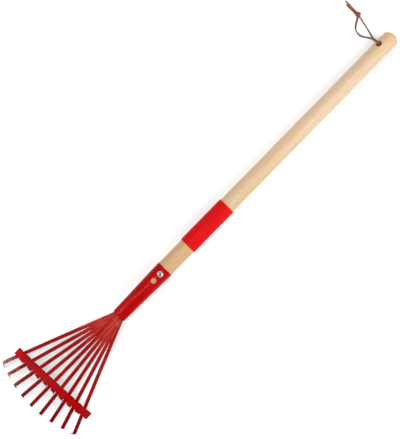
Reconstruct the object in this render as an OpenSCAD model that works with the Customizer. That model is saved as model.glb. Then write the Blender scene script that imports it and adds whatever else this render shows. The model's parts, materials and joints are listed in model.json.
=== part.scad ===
// A child's sand rake, lying at rest with its hooks down and its handle along +X.
// Nine sprung steel strips fan out of a pressed socket and are tied by an arched bar.
// A leather lace hangs through a slanting hole near the end of the wooden handle.
// Lengths are in millimetres and angles in degrees.

/* [Handle] */
// Diameter of the wooden handle
handle_d = 25; // [23:0.5:27]
// Length of handle that shows beyond the socket's rim
handle_free = 477; // [350:1:700]
// Length of the tapered foot inside the socket
foot_len = 50; // [42:1:60]
// Radius of the domed end
dome_r = 15; // [14:0.5:30]
// Diameter of the hole for the hanging lace
lace_hole_d = 8.8; // [7.2:0.2:9]
// Distance from the handle's end to the lace hole
lace_hole_inset = 26.5; // [20:0.5:60]
// Lean of the lace hole from upright, towards the far side
lace_hole_lean = 33; // [30:1:36]

/* [Grip sleeve] */
// Length of the grip sleeve
grip_len = 81.5; // [50:0.5:150]
// Wall of the grip sleeve
grip_wall = 1.1; // [0.8:0.1:3]
// Rounding of the sleeve's outer edges
grip_edge_r = 0.7; // [0.2:0.1:0.7]
// Bare wood between the socket's rim and the sleeve
grip_offset = 46.5; // [10:0.5:120]

/* [Socket] */
// Length of the socket, rim to mouth
socket_len = 96.5; // [85:0.5:120]
// Sheet thickness of the socket
socket_wall = 0.8; // [0.6:0.1:1.2]
// Outer width of the flattened mouth
mouth_w = 21.2; // [21:0.2:24]
// Outer corner radius of the mouth's flat underside
mouth_corner_r = 2.3; // [2:0.1:2.6]
// Width of the open seam along the socket's underside
seam_w = 0.8; // [0.4:0.1:1.6]
// Distance from the rim to the spare hole
spare_hole_inset = 24; // [18:0.5:32]
// Diameter of the spare hole
spare_hole_d = 8.5; // [5:0.5:9]

/* [Socket screw] */
// Distance from the rim to the screw
screw_inset = 10.5; // [8:0.5:13]
// Turn of the screw line round the handle, towards the near side
screw_turn = 6; // [0:1:12]
// Diameter of the pan head
screw_head_d = 9; // [7:0.5:9.5]
// Height of the pan head
screw_head_h = 2.6; // [2.2:0.1:3.2]
// Diameter of the shank
screw_shank_d = 4; // [3:0.5:4.5]
// Length of the shank below the head
screw_len = 18; // [14:0.5:20]
// Depth of the cross recess
recess_depth = 1.6; // [1:0.1:1.8]
// Span of the cross recess
recess_span = 5; // [4:0.2:6]
// Width of each arm of the cross recess
recess_w = 1.2; // [0.8:0.1:1.6]

/* [Tines] */
// Width of each strip
tine_w = 5.4; // [4.4:0.1:5.6]
// Thickness of each strip
tine_t = 0.8; // [0.5:0.1:0.9]
// Angle between neighbouring strips
tine_step = 5.47; // [5.3:0.01:5.6]
// Distance from the rivet to the outermost point of a hook
tine_reach = 198; // [190:0.5:230]
// Height from a strip's middle plane to the end of its hook
hook_depth = 20; // [14:0.5:28]
// Inside angle turned by the hook
hook_turn = 86; // [80:1:90]
// How much less the two outermost hooks turn than the middle one
hook_splay = 14; // [0:1:16]
// Bend radius of the hook, at the strip's middle plane
hook_r = 4; // [3:0.5:6]
// Length of each strip behind the rivet
tine_tail = 5; // [4:0.5:8]

/* [Tine rivet] */
// Distance from the socket's mouth to the rivet
rivet_depth = 15.5; // [14:0.5:16]
// Diameter of the rivet's shank
rivet_d = 3; // [2:0.5:3.5]
// Diameter of the rivet's heads
rivet_head_d = 6; // [5:0.5:7]
// Height of each rivet head
rivet_head_h = 1; // [0.6:0.1:1.2]

/* [Bar] */
// Distance from the socket's mouth to the middle of the bar
bar_reach = 138; // [130:0.5:145]
// Length of the bar across the fan
bar_len = 142; // [138:0.5:150]
// Turn of the bar on the fan, towards the tips on the lace's side
bar_turn = 2.2; // [-2.5:0.1:2.5]
// Width of the bar's flat web
bar_w = 9.2; // [8:0.2:12]
// Sheet thickness of the bar
bar_t = 1; // [0.8:0.1:1.4]
// Radius of the fan's arch, at the strips' middle plane
arch_r = 250; // [220:5:400]
// Height of the arch's crown above the handle's axis
crown_rise = 3.6; // [2:0.1:6]
// How far the tabs reach out past the web at the middle of the bar
tab_reach = 4.5; // [3:0.1:5]
// Share of that reach that a tab has at its shorter end
tab_short_share = 0.4; // [0.2:0.05:1]
// Slope of the tabs below the web
tab_slope = 55; // [40:1:65]
// Radius of the folds, at the web's upper face
fold_r = 2; // [1.6:0.1:2.4]
// Depth of the turned-down edge on the handle's side, below its fold
edge_drop = 1.5; // [0.5:0.1:3]

/* [Lace] */
// Thickness of the leather lace
lace_d = 2; // [1.6:0.1:2.2]
// Diameter of the knot
knot_d = 7; // [6:0.5:8]

/* [Hidden] */
tine_count = 9;
$fn = 64;

// Clearances and the overrun that carries every cut past its face
fit_clear = 0.05;
hole_clear = 0.3;
stack_gap = 0.1;
mouth_clear = 0.5;
weld_gap = 0.12;
notch_clear = 0.9;
notch_rise = 0.1;
foot_clear = 1;
lace_clear = 0.85;
floor_clear = 0.1;
overrun = 1;
slice_t = 0.05;

// Handle and socket, measured along the axis from the socket's mouth
handle_r = handle_d / 2;
handle_end_x = socket_len + handle_free;
foot_x = socket_len - foot_len;
neck_x = foot_x - foot_clear;
hole_x = handle_end_x - lace_hole_inset;
mouth_r = mouth_w / 2;
rim_r = handle_r + fit_clear + socket_wall;
dome_steps = 12;
crown_sides = 24;
corner_sides = crown_sides / 2;
neck_steps = 8;

// Stack of strips at the rivet
middle = (tine_count + 1) / 2;
stack_pitch = tine_t + stack_gap;
stack_half = (tine_count - 1) / 2 * stack_pitch + tine_t / 2;
mouth_half_h = stack_half + mouth_clear + socket_wall;
rivet_x = rivet_depth;

// Stations along a strip: where it leaves the stack, where it has joined the arch, where the hook begins
part_margin_share = 1.1;
leave_u = part_margin_share * tine_w / (2 * sin(tine_step / 2));
join_u = rivet_depth + bar_reach - bar_w - tab_reach;
hook_u = tine_reach - hook_r - tine_t / 2;
rise_steps = 10;
arch_steps = 5;
hook_steps = 6;
tangent_step = 0.5;

// Bar
bar_x = -bar_reach;
arch_axis_z = crown_rise - arch_r;
web_r = arch_r + tine_t / 2 + weld_gap;
fold_steps = 5;
edge_fold = 80;
bow_sides = 360;

function unit(v) = v / norm(v);
function ease(a, b, x) = let (s = max(0, min(1, (x - a) / (b - a)))) s * s * (3 - 2 * s);
function heading(i) = (middle - i) * tine_step;
function stack_place(i) = tine_count - 1 - (i > middle ? 2 * (i - middle) - 1 : 2 * (middle - i));
function stack_z(i) = (stack_place(i) - (tine_count - 1) / 2) * stack_pitch;
function sag(y) = arch_r - sqrt(arch_r * arch_r - y * y);

// Outer radius of the socket, and of the wood inside it, at a distance from the mouth
function socket_r(x) = mouth_r + (rim_r - mouth_r) * x / socket_len;
function foot_r(x) = socket_r(x) - socket_wall - fit_clear;

// Middle line and lie of strip i at distance u from the rivet
function tine_point(i, u) =
    let (y = u * sin(heading(i)), s = ease(leave_u, join_u, u))
    [rivet_x - u * cos(heading(i)), y, (1 - s) * stack_z(i) + s * (crown_rise - sag(y))];
function tine_along(i, u) = unit(tine_point(i, u + tangent_step) - tine_point(i, u - tangent_step));
function tine_up(i, u) =
    let (
        roll = ease(leave_u, join_u, u) * asin(u * sin(heading(i)) / arch_r),
        lean = [0, sin(roll), cos(roll)],
        along = tine_along(i, u)
    )
    unit(lean - (lean * along) * along);

// Four corners of a strip's cross-section
function tine_ring(p, along, up) =
    let (across = cross(up, along) * tine_w / 2, high = up * tine_t / 2)
    [p + across + high, p - across + high, p - across - high, p + across - high];
function tine_section(i, u) = tine_ring(tine_point(i, u), tine_along(i, u), tine_up(i, u));

// The hook turns down out of the strip's own plane, then runs straight to its end
function hook_section(i, turn, run) =
    let (
        start = tine_point(i, hook_u),
        along = tine_along(i, hook_u),
        up = tine_up(i, hook_u),
        ahead = along * cos(turn) - up * sin(turn)
    )
    tine_ring(
        start + along * hook_r * sin(turn) - up * hook_r * (1 - cos(turn)) + ahead * run,
        ahead,
        up * cos(turn) + along * sin(turn)
    );
function hook_bend(i) = hook_turn - hook_splay * pow((i - middle) / (middle - 1), 4);
function hook_run(i) = (hook_depth - hook_r * (1 - cos(hook_bend(i)))) / sin(hook_bend(i));
function hook_end(i) = hook_section(i, hook_bend(i), hook_run(i));
function tine_rings(i) = concat(
    [tine_section(i, -tine_tail)],
    [for (k = [0:rise_steps]) tine_section(i, leave_u + (join_u - leave_u) * k / rise_steps)],
    [for (k = [1:arch_steps]) tine_section(i, join_u + (hook_u - join_u) * k / arch_steps)],
    [for (k = [1:hook_steps]) hook_section(i, hook_bend(i) * k / hook_steps, 0)],
    [hook_end(i)]
);

// The rake rests on the ends of its two outer hooks and on the lace under the handle
hole_height = handle_r + lace_clear + lace_d + floor_clear;
feet = concat(hook_end(1), hook_end(tine_count));
foot_drop = -min([for (p = feet) p.z]);
foot_far_x = min([for (p = feet) p.x]);
rest_lean = atan((foot_drop - hole_height) / (hole_x - foot_far_x));
function leaned(p) = [
    p.x * cos(rest_lean) + p.z * sin(rest_lean), p.y, p.z * cos(rest_lean) - p.x * sin(rest_lean)
];
rest_lift = -min([for (p = feet) leaned(p).z]);
near_x = (handle_end_x - dome_r) * cos(rest_lean) + dome_r;
far_x = min([for (ring = tine_rings(middle)) for (p = ring) leaned(p).x]);
mid_x = (near_x + far_x) / 2;
hole_place = leaned([hole_x, 0, 0]) + [-mid_x, 0, rest_lift];

// Route of the lace from the middle of its hole, the near side over the top and the far side underneath
lace_over = [
    [0, 4.5, 7], [0, 7.5, 11.5], [0, 10.5, 14.5], [-0.7, 14.3, 15.5], [-1.7, 18.5, 12.5],
    [-3.1, 23.1, 5.5], [-4.7, 27.7, -3], [-6, 32, -10], [-6.9, 36.9, -13.5], [-6.4, 42.4, -14.3],
    [-4.4, 47.4, -14.3], [-0.4, 50.9, -14.3], [5.6, 54.4, -14.3], [10.6, 57.4, -14]
];
lace_under = [
    [0, 0, 0], [0, -3, -4.6], [0, -5.1, -7.9], [0, -5.75, -9.85], [0, -5.3, -11.85],
    [0, -3.95, -13.5], [0, -2.45, -14.1], [0, 0, -14.3], [0.7, 6, -14.3], [2.2, 13.5, -14.3],
    [4, 21, -14.3], [6.1, 28.6, -14.3], [8.1, 36.4, -14.3], [10.1, 44.4, -14.3], [12.1, 52.4, -14.3],
    [13.1, 56.9, -14]
];
knot_at = [13.1, 59.4, -11.7];
tail_long = [
    [14.1, 59.9, -12], [14.3, 64.4, -12.6], [14.4, 70.4, -13], [15, 79, -13.4], [15.6, 87, -14.3]
];
tail_short = [
    [12.1, 59.9, -12], [12, 64.4, -13.6], [12, 70.4, -14.3], [12, 77, -14.3], [12.4, 82.5, -14.3]
];
lace_sides = 8;

function reversed(list) = [for (k = [len(list) - 1:-1:0]) list[k]];

// Direction of a route at each point, and a side direction carried along it without twist
function route_along(route) = [
    for (k = [0:len(route) - 1]) unit(route[min(k + 1, len(route) - 1)] - route[max(k - 1, 0)])
];
function square_to(v, along) = unit(v - (v * along) * along);
function carried(along, side, k) =
    k == len(along) ? [] : let (s = square_to(side, along[k])) concat([s], carried(along, s, k + 1));
function route_rings(route, d) =
    let (along = route_along(route), side = carried(along, [1, 0, 0], 0))
    [
        for (k = [0:len(route) - 1]) [
            for (j = [0:lace_sides - 1])
                let (a = 360 * j / lace_sides)
                route[k] + (side[k] * cos(a) + cross(side[k], along[k]) * sin(a)) * d / 2
        ]
    ];

// A closed solid through a list of rings with equal numbers of points
module through_rings(rings) {
    n = len(rings[0]);
    last = (len(rings) - 1) * n;
    sides = [
        for (k = [0:len(rings) - 2]) for (j = [0:n - 1])
            let (a = k * n + j, b = k * n + (j + 1) % n)
            each [[a, b, b + n], [a, b + n, a + n]]
    ];
    caps = [for (j = [1:n - 2]) each [[0, j + 1, j], [last, last + j, last + j + 1]]];
    polyhedron(points = [for (ring = rings) each ring], faces = concat(sides, caps));
}

// Turns a shape that stands along +Z to lie along +X
module lengthwise() {
    rotate([0, 90, 0]) children();
}

module at_rest() {
    translate([-mid_x, 0, rest_lift]) rotate([0, rest_lean, 0]) children();
}

// Radial hole or shank at station x, turned round the axis from upright towards the near side
module radial(x, turn) {
    translate([x, 0, 0]) rotate([turn, 0, 0]) children();
}

// Half profile of the turned handle as [radius, station] pairs: its side, then the domed end
handle_side = [[0, foot_x], [foot_r(foot_x), foot_x], [handle_r, socket_len]];
dome_arc = [
    for (k = [dome_steps:-1:0])
        let (a = asin(handle_r / dome_r) * k / dome_steps)
        [dome_r * sin(a), handle_end_x - dome_r * (1 - cos(a))]
];

module handle() {
    seat_r = socket_r(socket_len - screw_inset);
    color("burlywood") at_rest() difference() {
        lengthwise() rotate_extrude() polygon(concat(handle_side, dome_arc));
        radial(socket_len - screw_inset, screw_turn)
            translate([0, 0, seat_r - screw_len - overrun])
            cylinder(h = screw_len + 2 * overrun, d = screw_shank_d + 2 * fit_clear);
        radial(hole_x, -lace_hole_lean) cylinder(h = handle_d + 2 * overrun, d = lace_hole_d, center = true);
    }
}

module grip_sleeve() {
    straight = grip_len - 2 * grip_edge_r;
    color("crimson") at_rest()
        translate([socket_len + grip_offset, 0, 0]) lengthwise()
        rotate_extrude() translate([handle_r + fit_clear, 0]) {
            square([grip_wall - grip_edge_r, grip_len]);
            translate([0, grip_edge_r]) square([grip_wall, straight]);
            for (end = [grip_edge_r, grip_edge_r + straight])
                translate([grip_wall - grip_edge_r, end]) circle(r = grip_edge_r);
        }
}

// The socket's outline at station x, inside the sheet by inset: an oval crown over a squarer sole,
// which swells to a circle at the neck
function socket_ring(x, inset) =
    let (
        swell = ease(0, neck_x, x),
        full = socket_r(min(x, neck_x)),
        w = full - inset,
        h = mouth_half_h + (full - mouth_half_h) * swell - inset,
        c = mouth_corner_r + (full - mouth_corner_r) * swell - inset,
        turns = [for (k = [1:corner_sides - 1]) 90 * k / corner_sides]
    )
    concat(
        [for (k = [crown_sides:-1:0]) let (a = 180 * k / crown_sides) [x, w * cos(a), h * sin(a)]],
        [for (a = turns) [x, w - c + c * cos(a), c - h - c * sin(a)]],
        [[x, 0, -h]],
        [for (a = reversed(turns)) [x, c - w - c * cos(a), c - h - c * sin(a)]]
    );

// Solid inside of the socket's outer face, or of its inner face when inset is the wall
module socket_form(inset, reach) {
    translate([neck_x, 0, 0]) lengthwise()
        cylinder(h = socket_len - neck_x, r1 = socket_r(neck_x) - inset, r2 = rim_r - inset);
    stations = [for (k = [0:neck_steps]) (neck_x + slice_t) * k / neck_steps];
    through_rings([for (x = concat(reach > 0 ? [-reach] : [], stations)) socket_ring(x, inset)]);
    if (reach > 0) translate([socket_len, 0, 0]) lengthwise() cylinder(h = reach, r = rim_r - inset);
}

module socket() {
    color("firebrick") at_rest() difference() {
        socket_form(0, 0);
        socket_form(socket_wall, overrun);
        translate([-overrun, -seam_w / 2, -rim_r - overrun])
            cube([socket_len + 2 * overrun, seam_w, rim_r + overrun]);
        radial(socket_len - screw_inset, screw_turn)
            cylinder(h = rim_r + overrun, d = screw_shank_d + 2 * hole_clear);
        radial(socket_len - spare_hole_inset, screw_turn) cylinder(h = rim_r + overrun, d = spare_hole_d);
    }
}

module socket_screw() {
    point_h = screw_shank_d / 2;
    dome = (screw_head_d * screw_head_d / 4 + screw_head_h * screw_head_h) / (2 * screw_head_h);
    seat = socket_r(socket_len - screw_inset + screw_head_d / 2) + fit_clear;
    color("silver") at_rest() radial(socket_len - screw_inset, screw_turn) translate([0, 0, seat]) {
        difference() {
            intersection() {
                cylinder(h = screw_head_h, d = screw_head_d);
                translate([0, 0, screw_head_h - dome]) sphere(r = dome);
            }
            for (turn = [0, 90])
                rotate([0, 0, turn])
                translate([-recess_span / 2, -recess_w / 2, screw_head_h - recess_depth])
                cube([recess_span, recess_w, recess_depth + overrun]);
        }
        translate([0, 0, point_h - screw_len]) cylinder(h = screw_len - point_h, d = screw_shank_d);
        translate([0, 0, -screw_len]) cylinder(h = point_h, r1 = 0, d2 = screw_shank_d);
    }
}

module tine_rivet() {
    head_base = stack_half + fit_clear;
    color("silver") at_rest() translate([rivet_x, 0, 0]) {
        cylinder(h = 2 * head_base, d = rivet_d, center = true);
        for (side = [0, 1])
            mirror([0, 0, side]) translate([0, 0, head_base])
            cylinder(h = rivet_head_h, d1 = rivet_head_d, d2 = rivet_d);
    }
}

module tine(i) {
    color("darkred") at_rest() difference() {
        through_rings(tine_rings(i));
        translate([rivet_x, 0, 0])
            cylinder(h = 2 * (stack_half + overrun), d = rivet_d + 2 * fit_clear, center = true);
    }
}

// Outline of a sheet that leaves the web's edge, folds down by turn and runs on, as [radius, reach] pairs
function fold_face(turn, run, inset) = concat(
    [for (k = [0:fold_steps])
        let (a = turn * k / fold_steps, r = fold_r - inset)
        [web_r + bar_t - fold_r + r * cos(a), bar_w / 2 + r * sin(a)]],
    [[
        web_r + bar_t - fold_r + (fold_r - inset) * cos(turn) - run * sin(turn),
        bar_w / 2 + (fold_r - inset) * sin(turn) + run * cos(turn)
    ]]
);
function swapped(face) = [for (p = face) [p.x, -p.y]];

// Where strip i crosses the turned bar, as a distance past the bar's middle and one to the side
function crossing_y(i) = (rivet_x - bar_x) * tan(heading(i));
function crossing_reach(i) = crossing_y(i) * tan(bar_turn);

// Gap for strip i through a turned-down edge that lies between two distances from the bar's middle
module edge_notch(i, from, to) {
    half = (tine_w / 2 + notch_clear) / cos(heading(i));
    translate([0, 0, arch_axis_z]) linear_extrude(arch_r + web_r) polygon([
        for (corner = [[from, -half], [to, -half], [to, half], [from, half]])
            let (reach = corner.x + crossing_reach(i))
            [bar_x - reach, (rivet_x - bar_x + reach) * tan(heading(i)) + corner.y]
    ]);
}

// Trims the tab between strips i and i + 1 on a slant
module tab_slant(i, short, long) {
    translate([0, 0, arch_axis_z]) linear_extrude(arch_r + web_r) polygon([
        [bar_x - crossing_reach(i) - short, crossing_y(i)],
        [bar_x - crossing_reach(i + 1) - long, crossing_y(i + 1)],
        [bar_x - crossing_reach(i + 1) - long - tab_reach, crossing_y(i + 1)],
        [bar_x - crossing_reach(i) - long - tab_reach, crossing_y(i)]
    ]);
}

module bar_turned() {
    translate([bar_x, 0, arch_axis_z]) rotate([0, 0, bar_turn]) children();
}

module crossbar() {
    spread = 2 * asin(bar_len / 2 / web_r);
    tab_run = (tab_reach - fold_r * sin(tab_slope)) / cos(tab_slope);
    tab_out = bar_w / 2 + tab_reach;
    bow_r = (bar_len * bar_len / 4 + tab_reach * tab_reach) / (2 * tab_reach);
    outline = concat(
        fold_face(tab_slope, tab_run, 0),
        reversed(fold_face(tab_slope, tab_run, bar_t)),
        swapped(fold_face(edge_fold, edge_drop, bar_t)),
        swapped(reversed(fold_face(edge_fold, edge_drop, 0)))
    );
    color("red") at_rest() difference() {
        intersection() {
            bar_turned() rotate([0, -90, 0]) rotate([0, 0, -spread / 2])
                rotate_extrude(angle = spread) polygon(outline);
            bar_turned() translate([bow_r - tab_out, 0, 0])
                cylinder(h = arch_r + web_r, r = bow_r, $fn = bow_sides);
        }
        for (i = [1:tine_count]) edge_notch(i, bar_w / 2, tab_out + overrun);
        for (i = [1:tine_count - 1]) tab_slant(i, bar_w / 2 + tab_short_share * tab_reach, tab_out);
        intersection() {
            for (i = [1:tine_count]) edge_notch(i, -bar_w / 2 - fold_r - overrun, -bar_w / 2);
            bar_turned() rotate([0, 90, 0])
                cylinder(h = 4 * bar_w, r = web_r + notch_rise, center = true, $fn = bow_sides);
        }
    }
}

module hang_lace() {
    color("saddlebrown") translate(hole_place)
        through_rings(route_rings(concat(reversed(lace_over), lace_under), lace_d));
}

module lace_knot() {
    color("saddlebrown") translate(hole_place) {
        translate(knot_at) sphere(d = knot_d);
        for (tail = [tail_long, tail_short])
            through_rings(route_rings(tail, lace_d));
    }
}

handle();
grip_sleeve();
socket();
socket_screw();
tine_rivet();
crossbar();
hang_lace();
lace_knot();
for (i = [1:tine_count]) tine(i);
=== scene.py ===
"""Sand rake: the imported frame, dressed with a leather lace, materials, floor and studio light."""
import json
import math
from collections import namedtuple

import bpy
from mathutils import Matrix, Vector, noise


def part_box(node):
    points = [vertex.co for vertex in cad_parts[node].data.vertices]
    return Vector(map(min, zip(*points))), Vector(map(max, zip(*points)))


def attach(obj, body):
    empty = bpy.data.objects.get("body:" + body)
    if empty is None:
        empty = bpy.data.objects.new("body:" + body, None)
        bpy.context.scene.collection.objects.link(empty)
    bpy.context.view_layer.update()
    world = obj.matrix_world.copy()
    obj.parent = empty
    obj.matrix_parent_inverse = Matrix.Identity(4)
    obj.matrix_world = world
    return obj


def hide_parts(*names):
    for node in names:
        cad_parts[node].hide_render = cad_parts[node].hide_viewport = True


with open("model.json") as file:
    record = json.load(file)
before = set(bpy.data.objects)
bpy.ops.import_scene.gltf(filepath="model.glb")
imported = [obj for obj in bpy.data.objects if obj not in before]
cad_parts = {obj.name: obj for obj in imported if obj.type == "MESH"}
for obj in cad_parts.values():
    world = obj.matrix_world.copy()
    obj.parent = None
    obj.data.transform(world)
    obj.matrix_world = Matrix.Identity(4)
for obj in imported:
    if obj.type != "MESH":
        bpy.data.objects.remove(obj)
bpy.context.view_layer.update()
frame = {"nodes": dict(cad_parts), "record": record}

NODES = frame["nodes"]
MM = 0.001
UP = Vector((0, 0, 1))

# Camera, fitted to the photograph: almost straight down, the handle running to the upper right.
VIEW_TARGET = Vector((-0.01175, 0.0139, 0.020))
VIEW_DISTANCE = 2.5
VIEW_TILT = math.radians(3.64)
VIEW_ROLL = math.radians(45.63)
VIEW_LENS = 140.85
VIEW_CLIP = 20.0
SENSOR = 36.0

# The stage is lit this many times over, so its shadows wash out towards white. Colours are divided
# by it.
LIGHT = 1.5
WHITE = (1.0, 1.0, 1.0, 1.0)
FLOOR_SIZE = 4.4
FLOOR_CELLS = 24
# The floor glows more and more between these two distances from its middle.
GLOW_FROM, GLOW_FULL = 0.9, 1.9
GLOW = 0.7
# Brightness of the world below and above its horizon, and the half height of the blend between them.
WORLD_BELOW = 1.1
WORLD_ABOVE = 0.40
HORIZON = 0.02

# The lace's route, in mm from the middle of its hole, as the solids have it.
LACE_JOINT = frame["record"]["behaviour"]["joints"][0]
HOLE = Vector(LACE_JOINT["pos_m"])
HINGE = Vector(LACE_JOINT["axis"])
LACE_OVER = [
    (0, 0, 0), (0, 4.5, 7), (0, 7.5, 11.5), (0, 10.5, 14.5), (-0.7, 14.3, 15.5), (-1.7, 18.5, 12.5),
    (-3.1, 23.1, 5.5), (-4.7, 27.7, -3), (-6, 32, -10), (-6.9, 36.9, -13.5), (-6.4, 42.4, -14.3),
    (-4.4, 47.4, -14.3), (-0.4, 50.9, -14.3), (5.6, 54.4, -14.3), (10.6, 57.4, -14),
]
LACE_UNDER = [
    (0, 0, 0), (0, -3, -4.6), (0, -5.1, -7.9), (0, -5.75, -9.85), (0, -5.3, -11.85),
    (0, -3.95, -13.5), (0, -2.45, -14.1), (0, 0, -14.3), (0.7, 6, -14.3), (2.2, 13.5, -14.3),
    (4, 21, -14.3), (6.1, 28.6, -14.3), (8.1, 36.4, -14.3), (10.1, 44.4, -14.3), (12.1, 52.4, -14.3),
    (13.1, 56.9, -14),
]
KNOT_AT = (13.1, 59.4, -11.7)
TAIL_LONG = [
    (13.5, 58.8, -11.8), (14.1, 59.9, -12), (14.3, 64.4, -12.6), (14.4, 70.4, -13), (15, 79, -13.4),
    (15.6, 87, -14.3),
]
TAIL_SHORT = [
    (12.7, 58.8, -11.8), (12.1, 59.9, -12), (12, 64.4, -13.6), (12, 70.4, -14.3), (12, 77, -14.3),
    (12.4, 82.5, -14.3),
]
LACE_END = TAIL_LONG[-1][1] * MM

# Sizes of the leather strip and its knot
OVER_WIDTH = 2.9 * MM
UNDER_WIDTH = 2.0 * MM
TAIL_WIDTH = 2.6 * MM
LACE_THICK = 1.25 * MM
TIE_WIDTH = 2.8 * MM
TIE_THICK = 2.2 * MM
KNOT_WIDE, KNOT_DEEP, KNOT_HIGH = 1.1 * MM, 1.9 * MM, 0.75 * MM
KNOT_STEPS = 96
LACE_STEPS = 6
FLOOR_GAP = 0.05 * MM
# A strip's corners: their radius as a share of half the thickness, and the points on each.
EDGE_ROUND = 0.62
CORNER_POINTS = 4
# Hand-cut leather varies in width and thickness by this share, in waves this many to the metre.
CUT_VARIES = 0.05
WIDTH_WAVES, THICK_WAVES = 260, 410
WAVE_SHIFT = Vector((7, 3, 1))
# The tails narrow by this share over this last share of their length.
TAIL_NARROWS = 0.25
TAIL_TAPER = 0.12
# Turns of the strip about its own line, in radians, and the shares of its length that they take
DROP_TURN, DROP_SPAN = 0.45, (0.22, 0.5)
KNOT_TURN, KNOT_SPAN = 2.6, (0.55, 0.95)
UNDER_TURN, UNDER_SPAN, UNDER_BACK = 0.75, (0.35, 0.6), (0.8, 1.0)
# Turn of the knot's strip, and of each tail at its start with its gain by the end
TIE_TURN = math.pi / 2
LONG_TAIL_TURN, LONG_TAIL_GAIN = 0.25, 0.3
SHORT_TAIL_TURN, SHORT_TAIL_GAIN = 0.1, -0.2

# Landmarks on the solids, in metres and radians
LEAN = math.radians(0.9993)
AXIS = Vector((math.cos(LEAN), 0, -math.sin(LEAN)))
HANDLE_R = 12.5 * MM
HOLE_R = 4.4 * MM
RIM_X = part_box("socket")[1][0]
SOCKET_TAPER = 2.75 / 96.5
NECK_BEFORE_HOLE = -501.8 * MM
SCREW_AT = (-0.10875, -0.00155, 0)
SCREW_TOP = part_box("socket_screw")[1][2]
RECESS_R = 2.6 * MM
CROSSING = sum((Vector(c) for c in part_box("tine_rivet")), Vector()) / 2
TINE_STEP = math.radians(5.47)
TINE_HALF = 2.7 * MM
# A face belongs to the socket's cone where the cosine between their normals is over this.
ROUND_FACING = 0.8

# Marks on the wood: where its colour changes along X, how far painted shade at the socket's rim reaches
# out and in, how far the hole's stain reaches, and the depths where the hole's painted shade begins and
# is full.
WOOD_FROM, WOOD_TO = -0.11, 0.38
RIM_SHADE_OUT, RIM_SHADE_IN = 0.5 * MM, 1.5 * MM
HOLE_STAIN = 0.9 * MM
HOLE_PALE, HOLE_DARK = 0.8 * MM, 4.5 * MM

# Painted shade on faces that lean over: the upward facing at which it begins, the one at which it is
# full, and its share there
EDGE_PAINTED_SHADE = (0.92, 0.35, 0.6)
SIDE_PAINTED_SHADE = (0.5, 0.1, 0.5)
# Painted shade in the screw's recess: the depths at which it begins and is full
RECESS_SHADE_FROM, RECESS_SHADE_FULL = 0.3 * MM, 1.1 * MM

# Wear of the paint, with painted sheen and highlight. The roots are worn and given a painted sheen in
# full at one place along X and not at all at the other, and the bar's end a painted highlight along Y.
ROOT_FULL, ROOT_FADE = -0.205, -0.262
BAR_FADE, BAR_FULL = 0.046, 0.066
# Distances from the strips' crossing: where painted shade begins past the bar and is full, and where
# they end, with the length of the painted highlight at the tip
PAST_BAR, PAST_BAR_DARK = 0.150, 0.166
TIP_REACH = 0.197
TIP_HIGHLIGHT = 0.024
# The edge mark, wear with a painted highlight: how far in from a strip's edge it fades and is full.
# Bare
# steel: its height on the hook, how far that height wanders, and half the blend into the paint
EDGE_FADE, EDGE_FULL = 0.9 * MM, 0.3 * MM
BARE_HOOK = 11 * MM
BARE_WANDER = 1.6 * MM
BARE_BLEND = 0.8 * MM
# For each strip: how far its root is worn and given a painted sheen, how far its outer edge is worn and
# given a painted highlight, and how far its tip gets a painted highlight
TINE_WEAR_AND_SHEEN = (
    (0.9, 0.0, 0.85), (1.0, 0.3, 0.6), (0.95, 0.35, 0.15), (0.85, 0.35, 0.0), (0.8, 0.5, 0.0),
    (0.75, 0.85, 0.0), (0.65, 0.9, 0.0), (0.55, 0.9, 0.0), (0.1, 0.0, 0.0),
)
MIDDLE_TINE = (len(TINE_WEAR_AND_SHEEN) + 1) / 2
Strip = namedtuple("Strip", "bare_below heading rubbed_root bare_edge rubbed_tip")

# Most of a noise's values lie between these two.
NOISE_LOW, NOISE_HIGH = 0.3, 0.7

# Modifiers: distances within which corners are joined, and angles in degrees
WELD_NEAR = 2e-6
WELD_SLIVERS = 6e-5
FLAT_ANGLE = 0.4
SMOOTH_ANGLE = 32


def add_camera():
    data = bpy.data.cameras.new("photo_camera")
    data.lens = VIEW_LENS
    data.sensor_width = SENSOR
    data.clip_end = VIEW_CLIP
    camera = bpy.data.objects.new("photo_camera", data)
    bpy.context.collection.objects.link(camera)
    turn = Matrix.Rotation(VIEW_TILT, 4, "X") @ Matrix.Rotation(-VIEW_ROLL, 4, "Z")
    back = turn.to_3x3() @ UP
    camera.matrix_world = Matrix.Translation(VIEW_TARGET + back * VIEW_DISTANCE) @ turn
    bpy.context.scene.camera = camera


# Sweeps

def at_hole(points):
    return [HOLE + Vector(p) * MM for p in points]


def curve_through(points, steps):
    """Points on a smooth curve through the given ones."""
    ends = [points[0] * 2 - points[1]] + list(points) + [points[-1] * 2 - points[-2]]
    out = []
    for i in range(1, len(ends) - 2):
        a, b, c, d = ends[i - 1 : i + 3]
        for k in range(steps):
            t = k / steps
            out.append(
                0.5 * ((2 * b) + (c - a) * t + (2 * a - 5 * b + 4 * c - d) * t * t
                       + (3 * b - a - 3 * c + d) * t ** 3)
            )
    out.append(points[-1].copy())
    return out


def carried_frames(points):
    """A side and a normal at each point, carried along without turning about the path."""
    tangents = []
    last = len(points) - 1
    for i in range(len(points)):
        tangents.append((points[min(i + 1, last)] - points[max(i - 1, 0)]).normalized())
    start = Vector((1, 0, 0))
    side = (start - tangents[0] * start.dot(tangents[0])).normalized()
    frames = []
    for t in tangents:
        side = (side - t * side.dot(t)).normalized()
        frames.append((side.copy(), t.cross(side)))
    return frames


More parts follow.
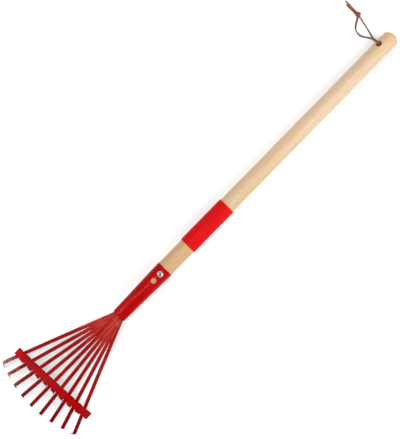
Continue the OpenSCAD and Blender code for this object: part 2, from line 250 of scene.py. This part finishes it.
def strip_section(width, thick):
    """A strip's outline: flat faces and rounded edges."""
    w, h = width / 2, thick / 2
    r = h * EDGE_ROUND
    step = 90 / (CORNER_POINTS - 1)
    out = []
    for quarter, (x, y) in enumerate(((w - r, h - r), (r - w, h - r), (r - w, r - h), (w - r, r - h))):
        for k in range(CORNER_POINTS):
            a = math.radians(90 * quarter + step * k)
            out.append((x + r * math.cos(a), y + r * math.sin(a)))
    return out


def varied(point):
    """A share just under 1 that drifts from place to place."""
    return 1 - CUT_VARIES * (0.5 + 0.5 * noise.noise(point))


def strip_rings(points, width, thick, twist, taper=0):
    """Rings of a hand-cut strip along the points. twist(s) is the turn at share s of the length."""
    frames = carried_frames(points)
    section = strip_section(width, thick)
    rings = []
    last = len(points) - 1
    for i, (p, (side, up)) in enumerate(zip(points, frames)):
        s = i / last
        a = twist(s)
        u = side * math.cos(a) + up * math.sin(a)
        v = up * math.cos(a) - side * math.sin(a)
        wide = varied(p * WIDTH_WAVES)
        deep = varied(p * THICK_WAVES + WAVE_SHIFT)
        if taper and s > 1 - taper:
            wide *= 1 - TAIL_NARROWS * (s - 1 + taper) / taper
        ring = [p + u * x * wide + v * y * deep for x, y in section]
        lift = max(0.0, FLOOR_GAP - min(q.z for q in ring))
        rings.append([q + UP * lift for q in ring])
    return rings


def mesh_of_rings(name, ring_sets):
    """One object of several capped tubes, each a list of rings."""
    verts, faces = [], []
    for rings in ring_sets:
        base = len(verts)
        n = len(rings[0])
        for ring in rings:
            verts.extend(ring)
        count = len(rings)
        for i in range(count - 1):
            here, there = base + i * n, base + (i + 1) * n
            for k in range(n):
                m = (k + 1) % n
                faces.append((here + k, here + m, there + m, there + k))
        faces.append([base + k for k in reversed(range(n))])
        faces.append([base + (count - 1) * n + k for k in range(n)])
    mesh = bpy.data.meshes.new(name)
    mesh.from_pydata([tuple(v) for v in verts], [], faces)
    mesh.update()
    for poly in mesh.polygons:
        poly.use_smooth = len(poly.vertices) == 4
    obj = bpy.data.objects.new(name, mesh)
    bpy.context.collection.objects.link(obj)
    return obj


def knot_path():
    """Two strands tied in one overhand knot: a closed trefoil about the lace's own line."""
    middle = HOLE + Vector(KNOT_AT) * MM
    points = []
    for i in range(KNOT_STEPS):
        t = 2 * math.pi * i / KNOT_STEPS
        r = 2.0 + math.cos(3 * t)
        wide = KNOT_WIDE * r * math.cos(2 * t)
        deep = KNOT_DEEP * math.sin(3 * t)
        high = KNOT_HIGH * r * math.sin(2 * t)
        points.append(middle + Vector((wide, deep, high)))
    return points


def ease(a, b, x):
    k = max(0.0, min(1.0, (x - a) / (b - a)))
    return k * k * (3 - 2 * k)


def twist_over(s):
    """Flat on the wood, on edge as it drops, and over on its other face by the knot."""
    return DROP_TURN * ease(*DROP_SPAN, s) + KNOT_TURN * ease(*KNOT_SPAN, s)


def twist_under(s):
    """Flat under the handle, half on edge, and flat again at the knot."""
    return UNDER_TURN * ease(*UNDER_SPAN, s) - UNDER_TURN * ease(*UNDER_BACK, s)


def even_twist(start, gain=0.0):
    return lambda s: start + gain * s


def add_lace():
    """The lace in two halves from the hole to the knot, and the knot with its tails."""
    over = curve_through(at_hole(LACE_OVER), LACE_STEPS)
    under = curve_through(at_hole(LACE_UNDER), LACE_STEPS)
    tail_long = curve_through(at_hole(TAIL_LONG), LACE_STEPS)
    tail_short = curve_through(at_hole(TAIL_SHORT), LACE_STEPS)
    tie = knot_path()
    twist_long = even_twist(LONG_TAIL_TURN, LONG_TAIL_GAIN)
    twist_short = even_twist(SHORT_TAIL_TURN, SHORT_TAIL_GAIN)
    half_over = mesh_of_rings("lace_over", [strip_rings(over, OVER_WIDTH, LACE_THICK, twist_over)])
    half_under = mesh_of_rings("lace_under", [strip_rings(under, UNDER_WIDTH, LACE_THICK, twist_under)])
    knot = mesh_of_rings("lace_tie", [
        strip_rings(tie + tie[:1], TIE_WIDTH, TIE_THICK, even_twist(TIE_TURN)),
        strip_rings(tail_long, TAIL_WIDTH, LACE_THICK, twist_long, TAIL_TAPER),
        strip_rings(tail_short, TAIL_WIDTH, LACE_THICK, twist_short, TAIL_TAPER),
    ])
    for piece in (half_over, half_under, knot):
        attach(piece, "lace")
    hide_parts("hang_lace")
    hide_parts("lace_knot")
    return half_over, half_under, knot


# Materials

def tone(r, g, b):
    """A colour given in 0 to 255 screen values, as linear light divided by LIGHT."""
    def lin(c):
        c /= 255
        return (c / 12.92 if c <= 0.04045 else ((c + 0.055) / 1.055) ** 2.4) / LIGHT
    return (lin(r), lin(g), lin(b), 1.0)


# Painted shade: the dark red laid on folds and on faces that lean over.
PAINTED_SHADE = tone(84, 0, 4)


class Shader:
    """A node material in the making."""

    def __init__(self, name):
        self.mat = bpy.data.materials.new(name)
        self.mat.use_nodes = True
        self.tree = self.mat.node_tree
        self.bsdf = next(n for n in self.tree.nodes if n.type == "BSDF_PRINCIPLED")
        self.place = self.tree.nodes.new("ShaderNodeTexCoord").outputs["Object"]

    def node(self, kind, **props):
        made = self.tree.nodes.new(kind)
        for key, value in props.items():
            setattr(made, key, value)
        return made

    def link(self, out, into):
        self.tree.links.new(out, into)

    def fixed(self, **values):
        """Inputs of the shader itself, by name, with _ for a space."""
        for key, value in values.items():
            self.bsdf.inputs[key.replace("_", " ")].default_value = value

    def scaled(self, scale, turn=(0, 0, 0)):
        made = self.node("ShaderNodeMapping")
        made.inputs["Scale"].default_value = scale
        made.inputs["Rotation"].default_value = turn
        self.link(self.place, made.inputs["Vector"])
        return made.outputs["Vector"]

    def noise(self, scale, detail=3.0, rough=0.5, bend=0.0, turn=(0, 0, 0)):
        """Noise with this many waves to the metre along each axis."""
        made = self.node("ShaderNodeTexNoise")
        self.link(self.scaled(scale, turn), made.inputs["Vector"])
        made.inputs["Scale"].default_value = 1.0
        made.inputs["Detail"].default_value = detail
        made.inputs["Roughness"].default_value = rough
        made.inputs["Distortion"].default_value = bend
        return made.outputs["Fac"]

    def ramp(self, value, stops):
        made = self.node("ShaderNodeValToRGB")
        band = made.color_ramp
        band.interpolation = "EASE"
        while len(band.elements) < len(stops):
            band.elements.new(0.5)
        for element, (at, colour) in zip(band.elements, stops):
            element.position = at
            element.color = colour if isinstance(colour, tuple) else (colour, colour, colour, 1.0)
        self.link(value, made.inputs["Fac"])
        return made.outputs["Color"]

    def span(self, value, low, high, to_low=0.0, to_high=1.0):
        made = self.node("ShaderNodeMapRange")
        made.inputs["From Min"].default_value = low
        made.inputs["From Max"].default_value = high
        made.inputs["To Min"].default_value = to_low
        made.inputs["To Max"].default_value = to_high
        self.link(value, made.inputs["Value"])
        return made.outputs["Result"]

    def spread(self, noise_out, to_low, to_high):
        """A noise, spread between two values."""
        return self.span(noise_out, NOISE_LOW, NOISE_HIGH, to_low, to_high)

    def math(self, kind, a, b):
        made = self.node("ShaderNodeMath", operation=kind)
        for value, socket in ((a, made.inputs[0]), (b, made.inputs[1])):
            if isinstance(value, (int, float)):
                socket.default_value = value
            else:
                self.link(value, socket)
        return made.outputs[0]

    def times(self, a, b):
        return self.math("MULTIPLY", a, b)

    def mix(self, share, a, b, kind="MIX"):
        made = self.node("ShaderNodeMix", data_type="RGBA", blend_type=kind)
        for value, socket in ((share, made.inputs[0]), (a, made.inputs[6]), (b, made.inputs[7])):
            if isinstance(value, (int, float, tuple)):
                socket.default_value = value
            else:
                self.link(value, socket)
        return made.outputs[2]

    def filtered(self, colour, by):
        """A colour multiplied by another."""
        return self.mix(1.0, colour, by, "MULTIPLY")

    def axis(self, which):
        made = self.node("ShaderNodeSeparateXYZ")
        self.link(self.place, made.inputs[0])
        return made.outputs[which]

    def vector(self, kind, a, b):
        """A vector sum on two vectors, and its two outputs."""
        made = self.node("ShaderNodeVectorMath", operation=kind)
        for value, socket in ((a, made.inputs[0]), (b, made.inputs[1])):
            if isinstance(value, (tuple, Vector)):
                socket.default_value = value
            else:
                self.link(value, socket)
        return made.outputs

    def off_line(self, point, direction):
        """Distance from a line."""
        arm = self.vector("SUBTRACT", self.place, point)["Vector"]
        swept = self.vector("CROSS_PRODUCT", arm, direction)["Vector"]
        return self.vector("LENGTH", swept, (0, 0, 0))["Value"]

    def along(self, point, direction):
        """Distance from a point, measured along a direction."""
        arm = self.vector("SUBTRACT", self.place, point)["Vector"]
        return self.vector("DOT_PRODUCT", arm, direction)["Value"]

    def facing(self, axis):
        """How far the surface faces along an axis, from 1 down to -1."""
        made = self.node("ShaderNodeSeparateXYZ")
        self.link(self.node("ShaderNodeNewGeometry").outputs["Normal"], made.inputs[0])
        return made.outputs[axis]

    def bumps(self, *layers):
        """Bump layers, each (height, strength, distance), one on another."""
        normal = None
        for height, strength, distance in layers:
            made = self.node("ShaderNodeBump")
            made.inputs["Strength"].default_value = strength
            made.inputs["Distance"].default_value = distance
            self.link(height, made.inputs["Height"])
            if normal:
                self.link(normal, made.inputs["Normal"])
            normal = made.outputs["Normal"]
        self.link(normal, self.bsdf.inputs["Normal"])

    def colour(self, out):
        self.link(out, self.bsdf.inputs["Base Color"])

    def rough(self, out):
        self.link(out, self.bsdf.inputs["Roughness"])


def wood_material():
    """Pale turned beech under a thin lacquer: lengthwise figure, short flecks, warmer towards the ends,
    browner in the lace hole with painted shade deeper in, and painted shade at and under the socket's
    rim."""
    s = Shader("beech_lacquered")
    lean = (0, -LEAN, 0)
    figure = s.noise((5.5, 190, 190), 4.0, 0.55, 0.35, lean)
    streak = s.noise((14, 620, 620), 3.0, 0.6, 0.0, lean)
    grain = s.noise((34, 1500, 1500), 2.0, 0.5, 0.0, lean)
    fleck = s.noise((230, 1700, 1700), 1.0, 0.5, 0.0, lean)
    patch = s.noise((44, 230, 230), 3.0, 0.6, 0.0, lean)
    base = s.ramp(s.span(s.axis(0), WOOD_FROM, WOOD_TO), [
        (0.0, tone(216, 177, 130)), (0.14, tone(218, 180, 134)), (0.34, tone(229, 199, 160)),
        (0.6, tone(236, 207, 171)), (0.8, tone(235, 210, 177)), (0.94, tone(236, 207, 170)),
        (1.0, tone(240, 199, 152)),
    ])
    darker = s.ramp(figure, [(0.36, 0.86), (0.5, 0.95), (0.64, 1.0)])
    lines = s.ramp(streak, [(0.34, 0.86), (0.5, 0.97), (0.62, 1.0)])
    fibres = s.ramp(grain, [(0.32, 0.93), (0.5, 0.985), (0.66, 1.0)])
    dots = s.ramp(fleck, [(0.25, (0.76, 0.60, 0.48, 1.0)), (0.34, WHITE)])
    blush = s.ramp(patch, [(0.38, 0.0), (0.62, 0.4)])
    base = s.mix(blush, base, s.filtered(base, (1.0, 0.84, 0.66, 1.0)))
    wood = s.mix(0.55, s.filtered(base, darker), s.filtered(base, lines))
    wood = s.filtered(s.filtered(wood, fibres), dots)
    # Painted shade: the wood at and inside the socket's rim is laid darker and browner.
    under_rim = s.span(s.axis(0), RIM_X + RIM_SHADE_OUT, RIM_X - RIM_SHADE_IN, 0.0, 0.6)
    wood = s.mix(under_rim, wood, tone(196, 140, 84))
    hole = s.span(s.off_line(HOLE, HINGE), HOLE_R + HOLE_STAIN, HOLE_R, 0.0, 0.9)
    # Painted shade: the hole's stain is laid darker with depth.
    deep = s.span(s.off_line(HOLE, AXIS), HANDLE_R - HOLE_PALE, HANDLE_R - HOLE_DARK)
    s.colour(s.mix(hole, wood, s.mix(deep, tone(226, 150, 84), tone(176, 100, 40))))
    s.rough(s.spread(streak, 0.52, 0.40))
    s.fixed(Specular_IOR_Level=0.35 / LIGHT, Coat_Weight=0.12 / LIGHT, Coat_Roughness=0.32)
    s.bumps((streak, 0.12, 0.2 * MM), (grain, 0.10, 0.1 * MM), (fleck, 0.05, 0.1 * MM))
    return s.mat


def sleeve_material():
    """Soft dipped vinyl: satin, faintly pebbled, with painted shade on its flanks."""
    s = Shader("vinyl_satin_red")
    cloud = s.noise((24, 210, 210), 3.0)
    grain = s.noise((1900, 1900, 1900), 2.0)
    vinyl = s.ramp(cloud, [(0.34, tone(214, 10, 18)), (0.66, tone(226, 14, 21))])
    # Painted shade: the flanks, facing away from straight up, are laid darker.
    flank = s.span(s.facing("Z"), 0.4, 0.0, 0.0, 0.7)
    s.colour(s.mix(flank, vinyl, tone(140, 2, 10)))
    s.rough(s.spread(grain, 0.50, 0.62))
    s.fixed(Specular_IOR_Level=0.09 / LIGHT)
    s.bumps((grain, 0.16, 0.08 * MM), (cloud, 0.05, 0.4 * MM))
    return s.mat


def worn_bar(s, paint):
    """The bar's paint, with a painted highlight brightening one end and painted shade on the fold that
    faces the handle.
    """
    # Painted highlight: the paint is laid lighter towards the bar's end along Y.
    end = s.span(s.axis(1), BAR_FADE, BAR_FULL)
    # Painted shade: the fold that faces the handle, along X, is laid darker.
    fold = s.span(s.facing("X"), 0.2, 0.7, 0.0, 0.7)
    return s.mix(fold, s.mix(end, paint, tone(192, 10, 14)), PAINTED_SHADE)


def worn_strip(s, paint, rough, strip):
    """A strip's paint and roughness: worn, with painted sheen and edge highlights at the root, a
    painted highlight at the tip, painted shade past the bar, and bare at the hook.
    """
    root = s.span(s.axis(0), ROOT_FADE, ROOT_FULL)
    streaks = s.noise((26, 420, 420), 3.0, 0.6)
    rub_and_sheen = s.span(streaks, 0.40, 0.60, 0.06 * strip.rubbed_root, 0.9 * strip.rubbed_root)
    # Painted sheen, with rub wear: the root is laid lighter and pinker, more on the strips to the left.
    paint = s.mix(s.times(root, 0.3 + 0.5 * strip.rubbed_root), paint, tone(184, 10, 15))
    paint = s.mix(s.times(root, rub_and_sheen), paint, tone(216, 78, 70))

    reach = s.along(CROSSING, Vector((-math.cos(strip.heading), math.sin(strip.heading), 0)))
    # Painted shade: the strip is laid darker past the bar, where it slopes away.
    paint = s.mix(s.span(reach, PAST_BAR, PAST_BAR_DARK, 0.0, 0.5), paint, tone(100, 0, 4))
    # Painted highlight: a pale pink patch laid on the tip.
    patch = s.span(s.noise((140, 140, 140), 3.0, 0.6), 0.36, 0.56)
    tip = s.times(s.span(reach, TIP_REACH - TIP_HIGHLIGHT, TIP_REACH), patch)
    paint = s.mix(s.times(tip, strip.rubbed_tip), paint, tone(214, 150, 144))

    # Edge wear with a painted highlight: a tan line laid along each strip's outer edge at the root.
    outward = Vector((math.sin(strip.heading), math.cos(strip.heading), 0))
    outward *= math.copysign(1, strip.heading)
    edge = s.span(s.along(CROSSING, outward), TINE_HALF - EDGE_FADE, TINE_HALF - EDGE_FULL)
    broken = s.span(s.noise((160, 160, 160), 3.0), 0.38, 0.58, 0.0, strip.bare_edge)
    paint = s.mix(s.times(s.times(edge, root), broken), paint, tone(214, 134, 92))

    wander = s.spread(s.noise((420, 420, 420), 3.0), -BARE_WANDER, BARE_WANDER)
    height = s.math("ADD", s.axis(2), wander)
    bare = s.span(height, strip.bare_below + BARE_BLEND, strip.bare_below - BARE_BLEND)
    brushed = s.noise((900, 900, 160), 3.0)
    steel = s.ramp(brushed, [(NOISE_LOW, tone(186, 181, 178)), (NOISE_HIGH, tone(228, 224, 221))])
    s.link(s.times(bare, 0.25), s.bsdf.inputs["Metallic"])
    return s.mix(bare, paint, steel), s.math("ADD", rough, s.times(bare, 0.12))


def enamel_material(name, dark, light, gloss, shine, lean_shade=EDGE_PAINTED_SHADE, bar=False, strip=None):
    """Baked enamel on steel: orange peel, faint scuffs, painted shade on faces that lean over, and the
    marks
    of the bar or of a strip: wear, painted shade and painted highlights."""
    s = Shader(name)
    cloud = s.noise((45, 45, 45), 3.0)
    peel = s.noise((700, 700, 700), 2.0)
    scuff = s.noise((120, 1500, 900), 3.0, 0.6)
    paint = s.ramp(cloud, [(0.32, dark), (0.68, light)])
    marks = s.ramp(scuff, [(0.70, 0.0), (0.82, 0.22)])
    paint = s.mix(marks, paint, tone(214, 60, 54))
    shade_from, shade_full, shade_share = lean_shade
    # Painted shade: the paint is laid darker where the surface leans away from straight up.
    paint = s.mix(s.span(s.facing("Z"), shade_from, shade_full, 0.0, shade_share), paint, PAINTED_SHADE)
    rough = s.spread(cloud, gloss - 0.04, gloss + 0.05)
    if bar:
        paint = worn_bar(s, paint)
    if strip:
        paint, rough = worn_strip(s, paint, rough, strip)
    s.colour(paint)
    s.rough(rough)
    s.fixed(Specular_IOR_Level=shine / LIGHT)
    s.bumps((peel, 0.015, 0.08 * MM), (cloud, 0.01, 0.6 * MM))
    return s.mat


def metal_material(name, dark, light, rough, grain, recess=False):
    """Plated or plain steel: turned marks, a little tarnish, and painted shade in the screw's recess.
    """
    s = Shader(name)
    brushed = s.noise((grain, grain, grain), 4.0, 0.6)
    tarnish = s.span(s.noise((500, 500, 500), 3.0), 0.35, 0.75, 0.0, 0.5)
    metal = s.mix(tarnish, s.ramp(brushed, [(NOISE_LOW, dark), (NOISE_HIGH, light)]), dark)
    if recess:
        # Painted shade: the screw's recess is laid dark, more so deeper down.
        inside = s.span(s.off_line(SCREW_AT, UP), RECESS_R * 1.15, RECESS_R * 0.9)
        below = s.span(s.axis(2), SCREW_TOP - RECESS_SHADE_FROM, SCREW_TOP - RECESS_SHADE_FULL)
        metal = s.mix(s.times(inside, below), metal, tone(34, 30, 28))
    s.colour(metal)
    s.rough(s.spread(brushed, rough - 0.05, rough + 0.08))
    s.fixed(Metallic=0.75)
    s.bumps((brushed, 0.10, 0.04 * MM))
    return s.mat


def leather_material():
    """Brown leather cut in a thin strip: grain, creases, darker along the part that is handled."""
    s = Shader("leather_brown")
    cloud = s.noise((150, 150, 150), 4.0)
    grain = s.noise((2400, 2400, 2400), 3.0)
    crease = s.noise((700, 260, 700), 3.0, 0.6)
    fresh = s.ramp(cloud, [
        (0.3, tone(132, 74, 46)), (0.55, tone(160, 90, 58)), (0.75, tone(190, 114, 76)),
    ])
    handled = s.ramp(cloud, [
        (0.3, tone(92, 56, 40)), (0.55, tone(114, 74, 55)), (0.75, tone(138, 96, 74)),
    ])
    reach = s.span(s.axis(1), 0.0, LACE_END)
    clean = s.ramp(reach, [(0.07, 1.0), (0.16, 0.0), (0.60, 0.0), (0.68, 1.0)])
    creased = s.ramp(crease, [(0.30, 0.5), (0.42, 0.0)])
    s.colour(s.mix(creased, s.mix(clean, handled, fresh), tone(78, 48, 36)))
    s.rough(s.spread(grain, 0.58, 0.74))
    s.fixed(Specular_IOR_Level=0.3 / LIGHT, Sheen_Weight=0.08)
    s.bumps((grain, 0.35, 0.12 * MM), (crease, 0.3, 0.25 * MM))
    return s.mat


def floor_material():
    """Matt white paper with the faintest mottle, which glows towards its edge."""
    s = Shader("paper_white")
    mottle = s.noise((9, 9, 9), 3.0)
    tooth = s.noise((1200, 1200, 1200), 2.0)
    s.colour(s.ramp(mottle, [(NOISE_LOW, 0.93), (NOISE_HIGH, 0.95)]))
    s.rough(s.spread(tooth, 0.85, 0.95))
    glow = s.span(s.off_line((0, 0, 0), UP), GLOW_FROM, GLOW_FULL, 0.0, GLOW)
    s.link(glow, s.bsdf.inputs["Emission Strength"])
    s.fixed(Specular_IOR_Level=0.1, Emission_Color=WHITE)
    s.bumps((tooth, 0.04, 0.1 * MM))
    return s.mat


# Modifiers for the solids that stay

def geometry_group(name, build):
    tree = bpy.data.node_groups.new(name, "GeometryNodeTree")
    tree.interface.new_socket("Geometry", in_out="INPUT", socket_type="NodeSocketGeometry")
    tree.interface.new_socket("Geometry", in_out="OUTPUT", socket_type="NodeSocketGeometry")
    start = tree.nodes.new("NodeGroupInput")
    end = tree.nodes.new("NodeGroupOutput")
    tree.links.new(build(tree, start.outputs[0]), end.inputs[0])
    return tree


def is_over(tree, value, limit):
    """A test that a value is over a limit."""
    made = tree.nodes.new("FunctionNodeCompare")
    made.operation = "GREATER_THAN"
    made.inputs[1].default_value = limit
    tree.links.new(value, made.inputs[0])
    return made.outputs[0]


def weld_build(distance):
    """Joins corners that lie this close together and drops their imported normals."""
    def build(tree, shape):
        weld = tree.nodes.new("GeometryNodeMergeByDistance")
        weld.inputs["Distance"].default_value = distance
        tree.links.new(shape, weld.inputs["Geometry"])
        drop = tree.nodes.new("GeometryNodeRemoveAttribute")
        drop.inputs["Name"].default_value = "custom_normal"
        tree.links.new(weld.outputs[0], drop.inputs["Geometry"])
        return drop.outputs[0]
    return build


def smooth_build(tree, shape):
    """Shades every face smooth, and keeps edges sharper than SMOOTH_ANGLE."""
    faces = tree.nodes.new("GeometryNodeSetShadeSmooth")
    faces.domain = "FACE"
    tree.links.new(shape, faces.inputs["Geometry"])
    bend = tree.nodes.new("GeometryNodeInputMeshEdgeAngle").outputs[0]
    edges = tree.nodes.new("GeometryNodeSetShadeSmooth")
    edges.domain = "EDGE"
    edges.inputs["Shade Smooth"].default_value = False
    tree.links.new(faces.outputs[0], edges.inputs["Geometry"])
    tree.links.new(is_over(tree, bend, math.radians(SMOOTH_ANGLE)), edges.inputs["Selection"])
    return edges.outputs[0]


def cone_build(tree, shape):
    """Gives the faces of the socket's round end the normals of a true cone, inside and out."""
    def sums(kind, a, b, out="Vector"):
        made = tree.nodes.new("ShaderNodeVectorMath")
        made.operation = kind
        for value, socket in ((a, made.inputs[0]), (b, made.inputs[1])):
            if isinstance(value, Vector):
                socket.default_value = value
            else:
                tree.links.new(value, socket)
        return made.outputs[out]

    def dot_over(a, b, limit):
        return is_over(tree, sums("DOT_PRODUCT", a, b, "Value"), limit)

    def choose(test, no, yes):
        made = tree.nodes.new("GeometryNodeSwitch")
        made.input_type = "VECTOR"
        tree.links.new(test, made.inputs["Switch"])
        tree.links.new(no, made.inputs["False"])
        tree.links.new(yes, made.inputs["True"])
        return made.outputs[0]

    nothing = Vector((0, 0, 0))
    arm = sums("SUBTRACT", tree.nodes.new("GeometryNodeInputPosition").outputs[0], HOLE)
    off = sums("CROSS_PRODUCT", sums("CROSS_PRODUCT", arm, AXIS), -AXIS)
    tilted = sums("SUBTRACT", sums("NORMALIZE", off, nothing), AXIS * SOCKET_TAPER)
    outward = sums("NORMALIZE", tilted, nothing)
    inward = sums("SUBTRACT", nothing, outward)
    own = tree.nodes.new("GeometryNodeInputNormal").outputs["Normal"]
    outer = choose(dot_over(own, outward, ROUND_FACING), own, outward)
    inner = choose(dot_over(own, inward, ROUND_FACING), outer, inward)
    behind_neck = dot_over(arm, AXIS, NECK_BEFORE_HOLE)
    given = tree.nodes.new("GeometryNodeSetMeshNormal")
    given.mode = "FREE"
    given.domain = "CORNER"
    tree.links.new(shape, given.inputs["Mesh"])
    tree.links.new(choose(behind_neck, own, inner), given.inputs["Custom Normal"])
    return given.outputs[0]


def add_group(obj, name, group):
    obj.modifiers.new(name, "NODES").node_group = group


def dress(node, material, bevel, limit=38, parts=2, weld=None):
    """The node's material, edges softened by a bevel in mm, and smooth shading, all by modifiers."""
    obj = NODES[node]
    obj.data.materials.clear()
    obj.data.materials.append(material)
    add_group(obj, "weld", weld or WELD)
    flat = obj.modifiers.new("flat", "DECIMATE")
    flat.decimate_type = "DISSOLVE"
    flat.angle_limit = math.radians(FLAT_ANGLE)
    if bevel:
        soft = obj.modifiers.new("edges", "BEVEL")
        soft.width = bevel * MM
        soft.segments = parts
        soft.limit_method = "ANGLE"
        soft.angle_limit = math.radians(limit)
        soft.use_clamp_overlap = True
    add_group(obj, "smooth", SMOOTH)


# Floor and lights

def add_floor():
    n = FLOOR_CELLS
    row = n + 1
    line = [(i / n - 0.5) * FLOOR_SIZE for i in range(row)]
    corners = [j * row + i for j in range(n) for i in range(n)]
    mesh = bpy.data.meshes.new("floor_sheet")
    mesh.from_pydata([(x, y, 0.0) for y in line for x in line], [],
                     [(k, k + 1, k + row + 1, k + row) for k in corners])
    mesh.materials.append(floor_material())
    floor = bpy.data.objects.new("floor_sheet", mesh)
    bpy.context.collection.objects.link(floor)


def add_light(name, place, aim, long, size, power):
    """A rectangle of light at a place, facing its aim, with its first side along the long direction."""
    data = bpy.data.lights.new(name, "AREA")
    data.shape = "RECTANGLE"
    data.size, data.size_y = size
    data.energy = power * LIGHT
    light = bpy.data.objects.new(name, data)
    bpy.context.collection.objects.link(light)
    back = (Vector(place) - Vector(aim)).normalized()
    side = (Vector(long) - back * back.dot(Vector(long))).normalized()
    turn = Matrix((side, back.cross(side), back)).transposed()
    light.matrix_world = Matrix.Translation(place) @ turn.to_4x4()


def add_world():
    """A white world, brighter below the horizon, so the floor's edge never shows."""
    world = bpy.data.worlds.new("studio")
    world.use_nodes = True
    tree = world.node_tree
    back = next(n for n in tree.nodes if n.type == "BACKGROUND")
    split = tree.nodes.new("ShaderNodeSeparateXYZ")
    place = tree.nodes.new("ShaderNodeTexCoord")
    level = tree.nodes.new("ShaderNodeMapRange")
    level.inputs["From Min"].default_value = -HORIZON
    level.inputs["From Max"].default_value = HORIZON
    level.inputs["To Min"].default_value = WORLD_BELOW
    level.inputs["To Max"].default_value = WORLD_ABOVE * LIGHT
    tree.links.new(place.outputs["Generated"], split.inputs[0])
    tree.links.new(split.outputs["Z"], level.inputs["Value"])
    tree.links.new(level.outputs["Result"], back.inputs["Strength"])
    back.inputs["Color"].default_value = WHITE
    bpy.context.scene.world = world


def add_lights():
    add_light("strip_over", place=(-0.5, 0.52, 2.6), aim=(-0.15, 0, 0), long=(-1, 1, 0),
              size=(2.0, 0.12), power=18)
    add_light("broad_right", place=(1.1, -1.8, 1.7), aim=(0.25, 0, 0), long=(1, 0, 0),
              size=(2.6, 2.2), power=46)
    add_light("broad_left", place=(-0.92, 1.08, 1.2), aim=(-0.35, 0, 0), long=(1, 0, 0),
              size=(1.3, 1.4), power=6.5)


add_camera()
lace_pieces = add_lace()

WELD = geometry_group("weld_faces", weld_build(WELD_NEAR))
WELD_NECK = geometry_group("weld_neck", weld_build(WELD_SLIVERS))
TRUE_CONE = geometry_group("true_cone", cone_build)
SMOOTH = geometry_group("smooth_faces", smooth_build)

leather = leather_material()
for piece in lace_pieces:
    piece.data.materials.append(leather)

dress("handle", wood_material(), bevel=0.9, limit=45, parts=3)
dress("grip_sleeve", sleeve_material(), bevel=0.0)

socket_paint = enamel_material("enamel_socket", tone(176, 2, 4), tone(186, 3, 5),
                               gloss=0.17, shine=0.095, lean_shade=SIDE_PAINTED_SHADE)
dress("socket", socket_paint, bevel=0.18, weld=WELD_NECK)
add_group(NODES["socket"], "cone", TRUE_CONE)

nickel = metal_material("nickel_plate", tone(214, 208, 202), tone(250, 247, 243),
                        rough=0.24, grain=900, recess=True)
dress("socket_screw", nickel, bevel=0.12)
steel = metal_material("rivet_steel", tone(110, 106, 102), tone(168, 164, 158), rough=0.4, grain=800)
dress("tine_rivet", steel, bevel=0.12)

bar_paint = enamel_material("enamel_bar", tone(162, 2, 4), tone(174, 3, 5),
                            gloss=0.34, shine=0.05, bar=True)
dress("crossbar", bar_paint, bevel=0.16)
for i, wear in enumerate(TINE_WEAR_AND_SHEEN, 1):
    hook_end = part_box(f"tine_{i}")[0][2]
    strip = Strip(hook_end + BARE_HOOK, TINE_STEP * (MIDDLE_TINE - i), *wear)
    tine_paint = enamel_material(f"enamel_tine_{i}", tone(142, 2, 6), tone(158, 3, 8),
                                 gloss=0.28, shine=0.05, strip=strip)
    dress(f"tine_{i}", tine_paint, bevel=0.14)

add_floor()
add_world()
add_lights()
bpy.context.scene.view_settings.view_transform = "Standard"
